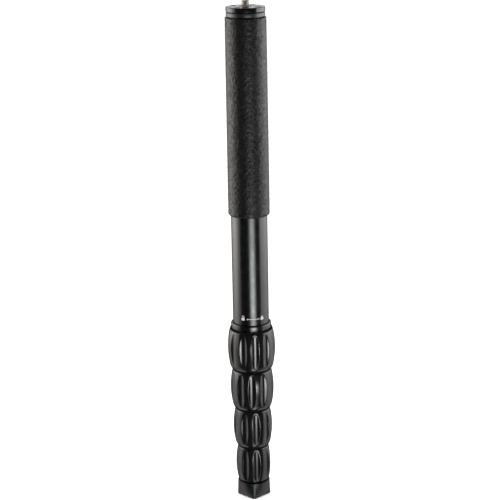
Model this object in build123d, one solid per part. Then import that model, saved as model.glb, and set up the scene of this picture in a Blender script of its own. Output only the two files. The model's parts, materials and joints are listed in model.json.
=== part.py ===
from build123d import *

import os
from math import cos, radians, sin, sqrt

# Camera monopod: five telescoping tubes with a twist lock at each joint, shown folded.
# It stands on its rubber foot. Millimetres, +Z up, origin at the middle of the sole,
# with the viewer's side at -Y. Tubes and locks are numbered from the outermost.

# Fits and cuts.
bond_gap = 0.05
running_gap = 0.06
rotary_gap = 0.35
overrun = 1.0

# Tubes. Two keyways along each bore stop the next tube from turning.
tube_count = 5
tube_1_od = 29.0
tube_wall = 1.2
tube_gap = 0.45
keyway_depth = 0.5
keyway_width = 3.0
bare_tube_length = 88.5
nest_step = 1.0

# Rubber foot, square at the sole, with a cup round the last lock.
foot_height = 13.3
foot_rim_inset = 1.15
foot_side_inset = 2.95
foot_corner_r = 2.2
foot_sole_chamfer = 0.7
foot_rim_wall = 0.6
foot_cup_depth = 1.2
foot_cup_slope = 1.1
foot_groove_width = 1.8
foot_groove_depth = 1.2
foot_floor = 5.0

# Threaded stud moulded in the foot, and the plug that takes it.
foot_stud_length = 15.0
foot_stud_head_step = 0.9
foot_stud_head_height = 2.0
foot_stud_share = 0.62
foot_plug_length = 22.0

# Lock nuts: a fluted barrel, its height and outline from the widest ring.
lock_stack_gap = 0.4
nut_heights = (33.9, 33.2, 32.4, 32.3)
nut_wall = 4.75
nut_rim_drop = 1.55
nut_low_drop = 1.6
nut_bottom_drop = 2.6
nut_rim_round = 0.8
nut_skirt_height = 2.6
nut_bottom_edge = 0.3
belly_height_share = 0.52

# Flutes: round-nosed grooves that follow the barrel part of the way, with round ends.
flute_counts = (12, 11, 10, 9)
flute_depth = 1.4
flute_width_share = 0.62
flute_turns_deg = (9.0, -0.5, 10.0, 11.0)
flute_end_inset = 5.2
flute_end_drop = 0.5

# Inside a lock nut, from its lower lip up.
nut_lip = 1.6
seal_height = 2.5
seal_depth = 1.55
seal_lip_height = 0.8
nut_land = 0.8
cone_gap = 0.3

# Split collet, squeezed on the inner tube by the nut's cone.
collet_height = 7.2
collet_flange = 2.0
collet_flange_inset = 0.3
collet_tip_wall = 1.0
collet_root_wall = 2.4
collet_slot_count = 8
collet_slot_width = 1.0
collet_slot_height = 5.6

# Threaded collar bonded on each tube's lower end. Only the first has a shoulder.
collar_wall = 1.4
collar_lip = 1.5
collar_lip_step = 0.55
collar_top_inset = 0.3
shoulder_wall = 1.78
shoulder_height = 4.5
shoulder_round = 1.2

# Guide shims, a pair round each inner tube's upper end.
shim_length = 20.0
shim_end_margin = 1.0
shim_split = 2.0
key_side_gap = 0.15
key_tip_gap = 0.1
pip_r = 1.5
pip_end_gap = 0.1

# Grip sleeve.
grip_length = 156.1
grip_top_wall = 1.625
grip_middle_wall = 1.9
grip_bottom_wall = 2.025
grip_top_round = 0.9
grip_bottom_round = 2.0
grip_end_gap = 0.5

# Head: plug, platform, screws and the reversible camera stud.
plug_flange_step = 0.7
plug_flange_height = 3.3
plug_spigot_length = 12.0
plug_bore_depth = 10.0
plug_clearance = 1.5
ring_groove_chamfer = 0.5
platform_step = 0.8
platform_height = 4.5
platform_edge = 0.4
stud_small_d = 6.35
stud_large_d = 9.525
stud_rise = 4.7
stud_tip_chamfer = 0.6
stud_end_gap = 0.5
stud_slot_width = 1.2
stud_slot_depth = 1.3
screw_count = 4
screw_circle_inset = 2.15
screw_turn_deg = -32.0
screw_d = 2.5
screw_length = 10.0
screw_head_r = 2.2
screw_head_height = 1.3
screw_head_sink = 0.5
screw_hole_gap = 0.1

os.makedirs("parts", exist_ok=True)


# Outer radius of a tube, then the radius of its bore.
def tube_r(i):
    return tube_1_od / 2 - i * (tube_wall + tube_gap)


def bore_r(i):
    return tube_r(i) - tube_wall


# Heights of each lock nut's two ends. The stack rests just above the foot's cup.
def lock_ends(i):
    low = foot_height - foot_cup_depth + lock_stack_gap
    for height in reversed(nut_heights[i + 1:]):
        low = low + height + lock_stack_gap
    return low, low + nut_heights[i]


# Heights in a lock: the land over the seal, the collet's two ends and the tube's end.
def lock_levels(i):
    low, top = lock_ends(i)
    seal_low = low + nut_lip
    land = seal_low + seal_height + nut_land
    collet_low = land + cone_gap
    collet_top = collet_low + collet_height
    return seal_low, land, collet_low, collet_top


def thread_r(i):
    return tube_r(i) + collar_wall


# Widest ring of a lock nut.
def nut_r(i):
    return tube_r(i) + nut_wall


collar_1_top = lock_ends(0)[1] + lock_stack_gap + shoulder_height
grip_low = collar_1_top + bare_tube_length
grip_top = grip_low + grip_length
flange_low = grip_top + grip_end_gap
platform_low = flange_low + plug_flange_height
platform_top = platform_low + platform_height
spigot_low = flange_low - plug_spigot_length
tube_5_low = foot_floor + bond_gap

plug_flange_r = tube_r(0) + plug_flange_step
platform_r = tube_r(0) + platform_step
spigot_r = bore_r(0) - bond_gap
screw_circle_r = spigot_r - screw_circle_inset
foot_rim_r = nut_r(tube_count - 2) - foot_rim_inset
foot_side = 2 * (foot_rim_r - foot_side_inset)
foot_plug_r = bore_r(tube_count - 1) - bond_gap
foot_stud_r = foot_stud_share * foot_plug_r
foot_stud_head_r = tube_r(tube_count - 1) + foot_stud_head_step


# Upper end of a tube: the outer one holds the plug, the others nest under it.
def tube_top(i):
    if i == 0:
        return flange_low
    return spigot_low - plug_clearance - (i - 1) * nest_step


# Lower end of a tube: on its collar's lip, or for the last one in the foot's socket.
def tube_low(i):
    if i == tube_count - 1:
        return tube_5_low
    return lock_levels(i)[3] + collar_lip


# A closed straight-sided outline in the XZ plane, as radius and height.
def outline(*points):
    corners = [(r, 0, z) for r, z in points]
    return Wire(Polyline(*corners, close=True).edges())


# A solid turned about Z from a closed outline.
def turned(wire):
    return revolve(Face(wire), Axis.Z, 360)


def ring(inner_r, outer_r, low, top):
    return turned(outline((inner_r, low), (outer_r, low), (outer_r, top), (inner_r, top)))


def disc(r, low, top):
    return Pos(0, 0, low) * Cylinder(r, top - low, align=(Align.CENTER, Align.CENTER, Align.MIN))


# A block that stands on its lowest face, along X from the axis outwards.
def radial_block(length, width, low, top, turn_deg=0):
    block = Box(length, width, top - low, align=(Align.MIN, Align.CENTER, Align.MIN))
    return Rot(0, 0, turn_deg) * Pos(0, 0, low) * block


def save(shape, node):
    export_step(shape, "parts/" + node + ".step")


def tube(i):
    low = tube_low(i)
    top = tube_top(i)
    body = ring(bore_r(i), tube_r(i), low, top)
    if i < tube_count - 1:
        width = keyway_width
        reach = bore_r(i) + keyway_depth
        blocks = [radial_block(reach, width, low - overrun, top + overrun, turn) for turn in (0, 180)]
        body = body - blocks[0] - blocks[1]
    if i > 0:
        level = top - shim_end_margin - shim_length / 2
        hole = Cylinder(pip_r + bond_gap, 2 * (tube_r(i) + overrun))
        body = body - Pos(0, 0, level) * Rot(0, 90, 0) * hole
    return body


# Half of a guide shim: a thin shell, its key in the outer tube's keyway and a pip that
# holds it in the inner tube's wall.
def half_shim(i, turn_deg):
    top = tube_top(i) - shim_end_margin
    low = top - shim_length
    inner = tube_r(i) + bond_gap
    outer = bore_r(i - 1) - running_gap
    shell = ring(inner, outer, low, top)
    key_width = keyway_width - 2 * key_side_gap
    key_reach = bore_r(i - 1) + keyway_depth - key_tip_gap
    key = radial_block(key_reach, key_width, low, top) - disc(inner, low - overrun, top + overrun)
    pip_inner = tube_r(i) - tube_wall + keyway_depth + pip_end_gap
    pip = Pos(pip_inner, 0, (low + top) / 2) * Rot(0, 90, 0) * Cylinder(
        pip_r, outer - pip_inner, align=(Align.CENTER, Align.CENTER, Align.MIN)
    )
    reach = outer + overrun
    half_space = Box(
        2 * reach, 2 * reach, shim_length + 2 * overrun, align=(Align.MAX, Align.CENTER, Align.MIN)
    )
    body = shell + key + pip - Pos(shim_split / 2, 0, low - overrun) * half_space
    return Rot(0, 0, turn_deg) * body


def collar(i):
    top = lock_ends(i)[1]
    low = lock_levels(i)[3]
    seat = tube_low(i)
    inner = tube_r(i) + bond_gap
    lip_inner = bore_r(i) + collar_lip_step
    outer = thread_r(i)
    if i > 0:
        top = top - collar_top_inset
        wire = outline(
            (lip_inner, low), (outer, low), (outer, top), (inner, top), (inner, seat), (lip_inner, seat)
        )
        return turned(wire)
    step = top + lock_stack_gap
    shoulder = tube_r(i) + shoulder_wall
    side = Polyline(
        (inner, 0, collar_1_top),
        (inner, 0, seat),
        (lip_inner, 0, seat),
        (lip_inner, 0, low),
        (outer, 0, low),
        (outer, 0, step),
        (shoulder, 0, step),
        (shoulder, 0, collar_1_top - shoulder_round),
    )
    edge = TangentArc(
        (shoulder, 0, collar_1_top - shoulder_round),
        (shoulder - shoulder_round, 0, collar_1_top),
        tangent=(0, 0, 1),
    )
    face_line = Line((shoulder - shoulder_round, 0, collar_1_top), (inner, 0, collar_1_top))
    return turned(Wire(side.edges() + edge.edges() + face_line.edges()))


def collet(i):
    low, top = lock_levels(i)[2:]
    inner = tube_r(i + 1) + running_gap
    tip = tube_r(i + 1) + collet_tip_wall
    root = tube_r(i + 1) + collet_root_wall
    flange = thread_r(i) - collet_flange_inset
    flange_low_z = top - collet_flange
    body = turned(
        outline(
            (inner, low), (tip, low), (root, flange_low_z), (flange, flange_low_z), (flange, top), (inner, top)
        )
    )
    reach = flange + overrun
    for k in range(collet_slot_count):
        turn = (k + 0.5) * 360 / collet_slot_count
        slot_top = low + collet_slot_height
        if k == 0:
            slot_top = top + overrun
        body = body - radial_block(reach, collet_slot_width, low - overrun, slot_top, turn)
    return body


def dust_seal(i):
    seat = lock_levels(i)[0]
    low = seat + bond_gap
    top = seat + seal_height - bond_gap
    inner = tube_r(i + 1) + running_gap
    outer = tube_r(i + 1) + rotary_gap + seal_depth - bond_gap
    waist = tube_r(i + 1) + rotary_gap + bond_gap
    wire = outline(
        (outer, low), (outer, top), (waist, top), (inner, low + seal_lip_height), (inner, low)
    )
    return turned(wire)


# The barrel is drawn from its widest ring, up to the rim and down to a plain skirt.
def lock_nut(i):
    low, top = lock_ends(i)
    seal_low, land, collet_low, collet_top = lock_levels(i)
    widest = nut_r(i)
    belly = low + (top - low) * belly_height_share
    rim = widest - nut_rim_drop
    foot_r = widest - nut_bottom_drop
    lip = tube_r(i + 1) + rotary_gap
    seal_r = lip + seal_depth
    thread = thread_r(i) + running_gap
    cone_low = tube_r(i + 1) + collet_tip_wall + cone_gap
    cone_high = tube_r(i + 1) + collet_root_wall + cone_gap
    cone_top = collet_top - collet_flange
    upper = TangentArc((widest, 0, belly), (rim, 0, top - nut_rim_round), tangent=(0, 0, 1))
    rim_edge = TangentArc((rim, 0, top - nut_rim_round), (rim - nut_rim_round, 0, top), tangent=upper % 1)
    lower_end = (widest - nut_low_drop, 0, low + nut_skirt_height)
    lower = TangentArc((widest, 0, belly), lower_end, tangent=(0, 0, -1))
    inside = Polyline(
        (rim - nut_rim_round, 0, top),
        (thread, 0, top),
        (thread, 0, cone_top - cone_gap),
        (cone_high, 0, cone_top - cone_gap),
        (cone_low, 0, land),
        (lip, 0, land),
        (lip, 0, seal_low + seal_height),
        (seal_r, 0, seal_low + seal_height),
        (seal_r, 0, seal_low),
        (lip, 0, seal_low),
        (lip, 0, low),
        (foot_r - nut_bottom_edge, 0, low),
        (foot_r, 0, low + nut_bottom_edge),
        lower_end,
    )
    edges = upper.edges() + rim_edge.edges() + inside.edges() + lower.edges()
    body = turned(Wire(edges))
    nose = widest - flute_depth
    count = flute_counts[i]
    half_width = radians(180 / count * flute_width_share)
    side = widest * cos(half_width)
    cutter_r = (widest**2 + nose**2 - 2 * nose * side) / (2 * (side - nose))
    reach = nose + cutter_r
    end_reach = reach - flute_end_drop
    ends = [(0, -end_reach, low + flute_end_inset), (0, -end_reach, top - flute_end_inset)]
    path = ThreePointArc(ends[0], (0, -reach, belly), ends[1])
    cutter = sweep(Plane(ends[0], z_dir=path % 0) * Circle(cutter_r), path)
    for end in ends:
        cutter = cutter + Pos(*end) * Sphere(cutter_r)
    for k in range(count):
        turn = flute_turns_deg[i] + k * 360 / count
        body = body - Rot(0, 0, turn) * cutter
    return body


def grip_sleeve():
    inner = tube_r(0) + bond_gap
    top_r = tube_r(0) + grip_top_wall
    low_r = tube_r(0) + grip_bottom_wall
    high = (top_r, 0, grip_top - grip_top_round)
    middle = (tube_r(0) + grip_middle_wall, 0, (grip_low + grip_top) / 2)
    deep = (low_r, 0, grip_low + grip_bottom_round)
    flank = ThreePointArc(high, middle, deep)
    top_edge = TangentArc(high, (top_r - grip_top_round, 0, grip_top), tangent=(0, 0, 1))
    low_edge = TangentArc(deep, (low_r - grip_bottom_round, 0, grip_low), tangent=(0, 0, -1))
    inside = Polyline(
        (top_r - grip_top_round, 0, grip_top),
        (inner, 0, grip_top),
        (inner, 0, grip_low),
        (low_r - grip_bottom_round, 0, grip_low),
    )
    return turned(Wire(flank.edges() + low_edge.edges() + inside.edges() + top_edge.edges()))


# Places on the screw circle.
def screw_places():
    turns = [screw_turn_deg + k * 360 / screw_count for k in range(screw_count)]
    return [Rot(0, 0, turn) * Pos(screw_circle_r, 0, 0) for turn in turns]


screw_head_top = platform_top - screw_head_sink
screw_head_low = screw_head_top - screw_head_height
screw_low = screw_head_low - screw_length
plug_bore_low = flange_low - plug_bore_depth


def top_plug():
    edge = ring_groove_chamfer
    wire = outline(
        (0, spigot_low),
        (spigot_r, spigot_low),
        (spigot_r, flange_low),
        (plug_flange_r, flange_low),
        (plug_flange_r, platform_low - edge),
        (plug_flange_r - edge, platform_low),
        (0, platform_low),
    )
    body = turned(wire) - disc(stud_large_d / 2 + bond_gap, plug_bore_low, platform_low + overrun)
    hole_r = screw_d / 2 + bond_gap
    for place in screw_places():
        body = body - place * disc(hole_r, screw_low - stud_end_gap, platform_low + overrun)
    return body


def top_platform():
    groove = ring_groove_chamfer
    edge = platform_edge
    wire = outline(
        (0, platform_low),
        (platform_r - groove, platform_low),
        (platform_r, platform_low + groove),
        (platform_r, platform_top - edge),
        (platform_r - edge, platform_top),
        (0, platform_top),
    )
    body = turned(wire)
    body = body - disc(stud_large_d / 2 + bond_gap, platform_low - overrun, platform_top + overrun)
    for place in screw_places():
        body = body - place * disc(screw_d / 2 + screw_hole_gap, platform_low - overrun, platform_top)
        body = body - place * disc(screw_head_r + screw_hole_gap, screw_head_low, platform_top + overrun)
    return body


def platform_screws():
    head = disc(screw_head_r, screw_head_low, screw_head_top)
    screw = head + disc(screw_d / 2, screw_low, screw_head_low)
    return Compound(children=[place * screw for place in screw_places()])


def camera_stud():
    low = plug_bore_low + stud_end_gap
    tip = platform_top + stud_rise
    large = stud_large_d / 2
    small = stud_small_d / 2
    chamfer_size = stud_tip_chamfer
    wire = outline(
        (0, low),
        (large - chamfer_size, low),
        (large, low + chamfer_size),
        (large, platform_top),
        (small, platform_top),
        (small, tip - chamfer_size),
        (small - chamfer_size, tip),
        (0, tip),
    )
    slot = Pos(0, 0, tip) * Box(stud_small_d + overrun, stud_slot_width, 2 * stud_slot_depth)
    return turned(wire) - slot


foot_stud_head_low = foot_floor - foot_stud_head_height
foot_stud_top = foot_floor + foot_stud_length


def foot_plug():
    low = tube_5_low
    body = disc(foot_plug_r, low, low + foot_plug_length)
    thread_hole = disc(foot_stud_r + bond_gap, low - overrun, foot_stud_top + stud_end_gap)
    return body - thread_hole


def foot_stud():
    head = disc(foot_stud_head_r, foot_stud_head_low, foot_floor)
    return head + disc(foot_stud_r, foot_floor, foot_stud_top)


# One level of the foot: four corner arcs and four sides. A corner points to the viewer.
def foot_level(half_side, corner_r, z):
    centre = (half_side - corner_r) * sqrt(2)
    edges = []
    for k in range(4):
        turn = 90 * k - 90
        cx = centre * cos(radians(turn))
        cy = centre * sin(radians(turn))
        around = [(turn + offset, corner_r) for offset in (-45, 0, 45)]
        start, middle, end = [(cx + r * cos(radians(a)), cy + r * sin(radians(a)), z) for a, r in around]
        turn_next = turn + 90
        nx = centre * cos(radians(turn_next)) + corner_r * cos(radians(turn_next - 45))
        ny = centre * sin(radians(turn_next)) + corner_r * sin(radians(turn_next - 45))
        edges.append(ThreePointArc(start, middle, end).edge())
        edges.append(Line(end, (nx, ny, z)).edge())
    return Wire(edges)


# The round rim, cut into eight arcs that face the sole's corners and sides.
def foot_rim(r, z, corner_half_deg):
    edges = []
    for k in range(4):
        turn = 90 * k - 90
        marks = (turn - corner_half_deg, turn, turn + corner_half_deg, turn + 45, turn + 90 - corner_half_deg)
        p = [(r * cos(radians(a)), r * sin(radians(a)), z) for a in marks]
        edges.append(ThreePointArc(p[0], p[1], p[2]).edge())
        edges.append(ThreePointArc(p[2], p[3], p[4]).edge())
    return Wire(edges)


def foot():
    half_side = foot_side / 2
    chamfer_size = foot_sole_chamfer
    sole = foot_level(half_side - chamfer_size, foot_corner_r, 0)
    base = foot_level(half_side, foot_corner_r, chamfer_size)
    rim_corner_deg = foot_corner_r * 90 / foot_rim_r
    rim = foot_rim(foot_rim_r, foot_height, rim_corner_deg)
    body = Solid.make_loft([sole, base, rim], True)
    cup_floor = foot_height - foot_cup_depth
    cup_r = foot_rim_r - foot_rim_wall
    cup = turned(
        outline(
            (0, cup_floor),
            (cup_r - foot_cup_slope, cup_floor),
            (cup_r, foot_height),
            (cup_r, foot_height + overrun),
            (0, foot_height + overrun),
        )
    )
    socket = disc(tube_r(tube_count - 1) + bond_gap, foot_floor, foot_height)
    head_hole = disc(foot_stud_head_r, foot_stud_head_low, foot_floor)
    body = body - cup - socket - head_hole
    for turn in (45, 135):
        length = 2 * foot_side
        groove = Box(length, foot_groove_width, 2 * foot_groove_depth)
        body = body - Rot(0, 0, turn) * groove
    return body


for i in range(tube_count):
    save(tube(i), "tube_" + str(i + 1))
    if i > 0:
        shims = Compound(children=[half_shim(i, turn) for turn in (0, 180)])
        save(shims, "guide_shims_" + str(i + 1))
        travel = tube_top(i) - shim_end_margin - shim_length - lock_levels(i - 1)[3]
        print("section", i + 1, "travel", round(travel, 2))
    if i < tube_count - 1:
        save(collar(i), "collar_" + str(i + 1))
        save(collet(i), "collet_" + str(i + 1))
        save(dust_seal(i), "dust_seal_" + str(i + 1))
        save(lock_nut(i), "lock_nut_" + str(i + 1))
        print("lock", i + 1, "ends", [round(z, 2) for z in lock_ends(i)])

save(grip_sleeve(), "grip_sleeve")
save(top_plug(), "top_plug")
save(top_platform(), "top_platform")
save(platform_screws(), "platform_screws")
save(camera_stud(), "camera_stud")
save(foot_plug(), "foot_plug")
save(foot_stud(), "foot_stud")
save(foot(), "foot")
print("platform top", round(platform_top, 2), "stud tip", round(platform_top + stud_rise, 2))
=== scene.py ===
import json
import math

import bmesh
import bpy
from mathutils import Matrix, Vector, noise


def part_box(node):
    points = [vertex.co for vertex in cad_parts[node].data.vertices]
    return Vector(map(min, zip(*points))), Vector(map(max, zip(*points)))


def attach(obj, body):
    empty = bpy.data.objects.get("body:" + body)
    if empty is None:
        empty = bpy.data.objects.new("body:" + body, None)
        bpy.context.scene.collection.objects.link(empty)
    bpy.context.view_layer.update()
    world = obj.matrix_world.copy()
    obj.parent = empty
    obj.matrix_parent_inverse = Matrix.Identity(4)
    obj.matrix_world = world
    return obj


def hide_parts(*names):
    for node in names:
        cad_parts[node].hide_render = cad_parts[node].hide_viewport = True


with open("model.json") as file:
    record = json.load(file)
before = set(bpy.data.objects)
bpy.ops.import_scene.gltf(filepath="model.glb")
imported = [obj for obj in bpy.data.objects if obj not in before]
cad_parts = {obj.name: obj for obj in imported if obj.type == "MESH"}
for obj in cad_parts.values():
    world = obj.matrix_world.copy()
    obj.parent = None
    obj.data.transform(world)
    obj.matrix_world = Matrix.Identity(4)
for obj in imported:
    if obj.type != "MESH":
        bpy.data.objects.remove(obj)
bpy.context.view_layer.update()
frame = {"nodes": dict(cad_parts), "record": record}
nodes = frame["nodes"]
mm = 0.001
print("monopod: frame loaded,", len(nodes), "parts")


def addObject(name, data):
    item = bpy.data.objects.new(name, data)
    bpy.context.scene.collection.objects.link(item)
    return item


# A material with plain values on its surface's own sockets.
def newMaterial(name, plain):
    material = bpy.data.materials.new(name)
    material.use_nodes = True
    surface = material.node_tree.nodes["Principled BSDF"].inputs
    for title, value in plain.items():
        surface[title].default_value = value
    return material, material.node_tree, surface


# The camera comes first. It looks down a little and leans, so the top tips to the left.
cameraValues = {
    "lensMm": 110.95,
    "sensorMm": 36,
    "distance": 1.191,
    "height": 0.5266,
    "sideways": 0.0002,
    "pitchDeg": 14.9,
    "rollDeg": 1.05,
}


def makeCamera(values):
    data = bpy.data.cameras.new("studioCamera")
    data.lens = values["lensMm"]
    data.sensor_width = values["sensorMm"]
    camera = addObject("studioCamera", data)
    pitch = math.radians(values["pitchDeg"])
    roll = math.radians(values["rollDeg"])
    turn = Matrix.Rotation(math.pi / 2 - pitch, 4, "X") @ Matrix.Rotation(-roll, 4, "Z")
    place = Matrix.Translation((values["sideways"], -values["distance"], values["height"]))
    camera.matrix_world = place @ turn
    bpy.context.scene.camera = camera


makeCamera(cameraValues)
print("monopod: camera placed")

roomValues = {
    "floorSize": 40.0,
    "paper": {"Base Color": (0.9, 0.9, 0.9, 1), "Roughness": 0.9, "Specular IOR Level": 0.1},
    "skyColour": (1, 1, 1, 1),
    "skyLevel": 1.3,
}

# Softboxes stand round the monopod. Angles go round from the camera's side, to the right.
# Each is a patchwork: sweeps (from, to, share of the level) by spans of height (low, high, share).
softboxes = {
    "leftSoftbox": {
        "away": 0.4,
        "level": 3.6,
        "colour": (1.0, 0.97, 0.94),
        "sweeps": ((-149, -134, 0.22), (-134, -117, 0.6), (-117, -82.5, 1.0),
                   (-82.5, -64.5, 0.42)),
        "spans": ((-1.3, -0.3, 0.28), (-0.3, -0.13, 0.22), (-0.13, -0.06, 0.31),
                  (-0.06, 0.0, 0.34), (0.0, 0.03, 0.42), (0.03, 0.06, 0.62), (0.06, 0.095, 0.78),
                  (0.095, 0.125, 0.95), (0.125, 0.2, 1.1), (0.2, 0.46, 1.25)),
    },
    "stripSoftbox": {
        "away": 1.7,
        "level": 8.3,
        "colour": (0.97, 1.0, 1.0),
        "sweeps": ((-4, 4, 0.35), (4, 26, 1.0), (26, 34, 0.35)),
        "spans": ((-4.5, -1.8, 0.8), (-1.8, -0.6, 0.15), (-0.6, -0.53, 0.5),
                  (-0.53, -0.33, 1.15), (-0.33, -0.24, 1.8), (-0.24, -0.17, 0.9)),
    },
    "rightSoftbox": {
        "away": 0.4,
        "level": 2.7,
        "colour": (1, 1, 1),
        "sweeps": ((67, 122.5, 1.0), (122.5, 140.5, 0.6), (140.5, 153.5, 0.2)),
        "spans": ((-1.3, -0.3, 0.3), (-0.3, -0.13, 0.26), (-0.13, -0.06, 0.36),
                  (-0.06, 0.0, 0.43), (0.0, 0.04, 0.52), (0.04, 0.08, 0.62), (0.08, 0.11, 0.8),
                  (0.11, 0.14, 0.95), (0.14, 0.27, 1.15), (0.27, 0.46, 1.4)),
    },
    "backSoftbox": {
        "away": 2.4,
        "level": 0.95,
        "colour": (1, 1, 1),
        "sweeps": ((150, 210, 1.0),),
        "spans": ((0.45, 2.2, 1.0),),
    },
}


def makePanel(name, values, sweep, span):
    middle = math.radians((sweep[0] + sweep[1]) / 2)
    half = math.radians((sweep[1] - sweep[0]) / 2)
    width = 2 * values["away"] * math.tan(half)
    height = span[1] - span[0]
    light = bpy.data.lights.new(name, "AREA")
    light.shape = "RECTANGLE"
    light.size = width
    light.size_y = height
    light.energy = values["level"] * sweep[2] * span[2] * math.pi * width * height
    light.color = values["colour"]
    lamp = addObject(name, light)
    outward = Vector((math.sin(middle), -math.cos(middle), 0))
    lamp.location = outward * values["away"] + Vector((0, 0, (span[0] + span[1]) / 2))
    lamp.rotation_euler = outward.to_track_quat("Z", "Y").to_euler()
    lamp.visible_camera = False


def makeStudio(values, boxes):
    world = bpy.data.worlds.new("studioSky")
    bpy.context.scene.world = world
    world.use_nodes = True
    sky = world.node_tree.nodes["Background"]
    sky.inputs["Color"].default_value = values["skyColour"]
    sky.inputs["Strength"].default_value = values["skyLevel"]
    world.cycles_visibility.glossy = False
    half = values["floorSize"] / 2
    mesh = bpy.data.meshes.new("studioFloor")
    corners = [(-half, -half, 0), (half, -half, 0), (half, half, 0), (-half, half, 0)]
    mesh.from_pydata(corners, [], [(0, 1, 2, 3)])
    floor = addObject("studioFloor", mesh)
    mesh.materials.append(newMaterial("palePaper", values["paper"])[0])
    floor.visible_glossy = False  # black parts mirror the softboxes, not the floor
    floor.visible_shadow = False  # the softboxes reach below the floor
    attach(floor, "section_5")  # the floor stays under the foot as the monopod extends
    for name, box in boxes.items():
        for sweep in box["sweeps"]:
            for span in box["spans"]:
                makePanel(name, box, sweep, span)


makeStudio(roomValues, softboxes)
bpy.context.scene.view_settings.view_transform = "Standard"
print("monopod: studio lit")


# A shader node with its settings; a socket value is linked, and any other value is set.
def addNode(tree, kind, sockets=None, **settings):
    node = tree.nodes.new("ShaderNode" + kind)
    for title, value in settings.items():
        setattr(node, title, value)
    for title, value in (sockets or {}).items():
        if isinstance(value, bpy.types.NodeSocket):
            tree.links.new(value, node.inputs[title])
        else:
            node.inputs[title].default_value = value
    return node


def addMath(tree, operation, first, second, clamped=False):
    node = addNode(tree, "Math", {0: first, 1: second}, operation=operation, use_clamp=clamped)
    return node.outputs[0]


# Stretches a span of values over 0 to 1, or over the ends that are given.
def addRange(tree, value, span, ends=(0.0, 1.0), **settings):
    sockets = {"Value": value, "From Min": span[0], "From Max": span[1]}
    sockets.update({"To Min": ends[0], "To Max": ends[1]})
    return addNode(tree, "MapRange", sockets, **settings).outputs["Result"]


def addVector(tree, x, y, z=0.0):
    return addNode(tree, "CombineXYZ", {"X": x, "Y": y, "Z": z}).outputs["Vector"]


def addVectorMath(tree, operation, sockets, result="Vector"):
    return addNode(tree, "VectorMath", sockets, operation=operation).outputs[result]


# A noise texture whose spots are about as wide as the size.
def addCloud(tree, vector, size, **values):
    sockets = {"Vector": vector, "Scale": addMath(tree, "DIVIDE", 1.0, size)}
    sockets.update({title.capitalize(): value for title, value in values.items()})
    return addNode(tree, "TexNoise", sockets).outputs["Fac"]


# Object coordinates stay with a piece as it moves.
def objectPlace(tree):
    return addNode(tree, "TexCoord").outputs["Object"]


# Spans over which the masks grow, and how the leather's cells are pushed.
maskValues = {
    "wear": (0.42, 0.62),
    "smudge": (0.35, 0.7),
    "speck": (0.6, 0.78),
    "upward": (0.2, 0.9),
    "upwardShare": (0.25, 1.0),
    "pushScale": 700.0,
    "push": 0.0005,
    "dome": (0.0, 0.3),
    "crease": (0.12, 0.0),
}
effects = {}


# An empty shared effect, with the sockets inside it.
def newEffect(name, inputs, outputs):
    tree = bpy.data.node_groups.new(name, "ShaderNodeTree")
    effects[name] = tree
    newSocket = tree.interface.new_socket
    for title, start in inputs.items():
        socket = newSocket(name=title, in_out="INPUT", socket_type="NodeSocketFloat")
        socket.default_value = start
    for title in outputs:
        newSocket(name=title, in_out="OUTPUT", socket_type="NodeSocketFloat")
    given, result = tree.nodes.new("NodeGroupInput"), tree.nodes.new("NodeGroupOutput")
    return tree, given.outputs, result.inputs


# Bare metal along edges, broken up by noise.
def makeEdgeWear():
    inputs = {"Radius": 0.0003, "Spot Size": 1 / 900, "Gain": 6.0}
    tree, given, result = newEffect("edgeWear", inputs, ["Mask"])
    surface = addNode(tree, "NewGeometry").outputs["Normal"]
    rounded = addNode(tree, "Bevel", {"Radius": given["Radius"]}, samples=4).outputs["Normal"]
    facing = addVectorMath(tree, "DOT_PRODUCT", {0: surface, 1: rounded}, "Value")
    bend = addMath(tree, "SUBTRACT", 1.0, facing)
    strong = addMath(tree, "MULTIPLY", bend, given["Gain"])
    cloud = addCloud(tree, objectPlace(tree), given["Spot Size"], detail=3.0)
    patchy = addRange(tree, cloud, maskValues["wear"])
    tree.links.new(addMath(tree, "MULTIPLY", strong, patchy, True), result["Mask"])


# Soft smudges of handling, and fine specks of dust that lie mostly on upward faces.
def makeHandling():
    inputs = {"Smudge Size": 0.012, "Speck Size": 0.0006}
    tree, given, result = newEffect("handling", inputs, ["Smudge", "Dust"])
    place = objectPlace(tree)
    cloud = addCloud(tree, place, given["Smudge Size"], detail=4.0, roughness=0.6, distortion=0.8)
    tree.links.new(addRange(tree, cloud, maskValues["smudge"]), result["Smudge"])
    specks = addCloud(tree, place, given["Speck Size"], detail=2.0)
    spots = addRange(tree, specks, maskValues["speck"])
    surface = addNode(tree, "NewGeometry").outputs["Normal"]
    rise = addNode(tree, "SeparateXYZ", {"Vector": surface}).outputs["Z"]
    upward = addRange(tree, rise, maskValues["upward"], maskValues["upwardShare"])
    tree.links.new(addMath(tree, "MULTIPLY", spots, upward, True), result["Dust"])


# Fine even grain, as a moulded, blasted or cast skin has.
def makeFineGrain():
    inputs = {"Grain Size": 0.0003, "Stretch": 1.0}
    tree, given, result = newEffect("fineGrain", inputs, ["Height"])
    longer = addVector(tree, 1.0, 1.0, given["Stretch"])
    shaped = addVectorMath(tree, "MULTIPLY", {0: objectPlace(tree), 1: longer})
    grain = addCloud(tree, shaped, given["Grain Size"], detail=3.0, roughness=0.55)
    tree.links.new(grain, result["Height"])


# Fine lines that a lathe tool leaves: rings on a flat face, bands on a side.
def makeTurningLines():
    tree, given, result = newEffect("turningLines", {"Line Pitch": 0.0002}, ["Height"])
    split = addNode(tree, "SeparateXYZ", {"Vector": objectPlace(tree)}).outputs
    flat = addVector(tree, split["X"], split["Y"])
    radius = addVectorMath(tree, "LENGTH", {0: flat}, "Value")
    along = addVector(tree, radius, split["Z"])
    tree.links.new(addCloud(tree, along, given["Line Pitch"], detail=2.0), result["Height"])


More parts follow.
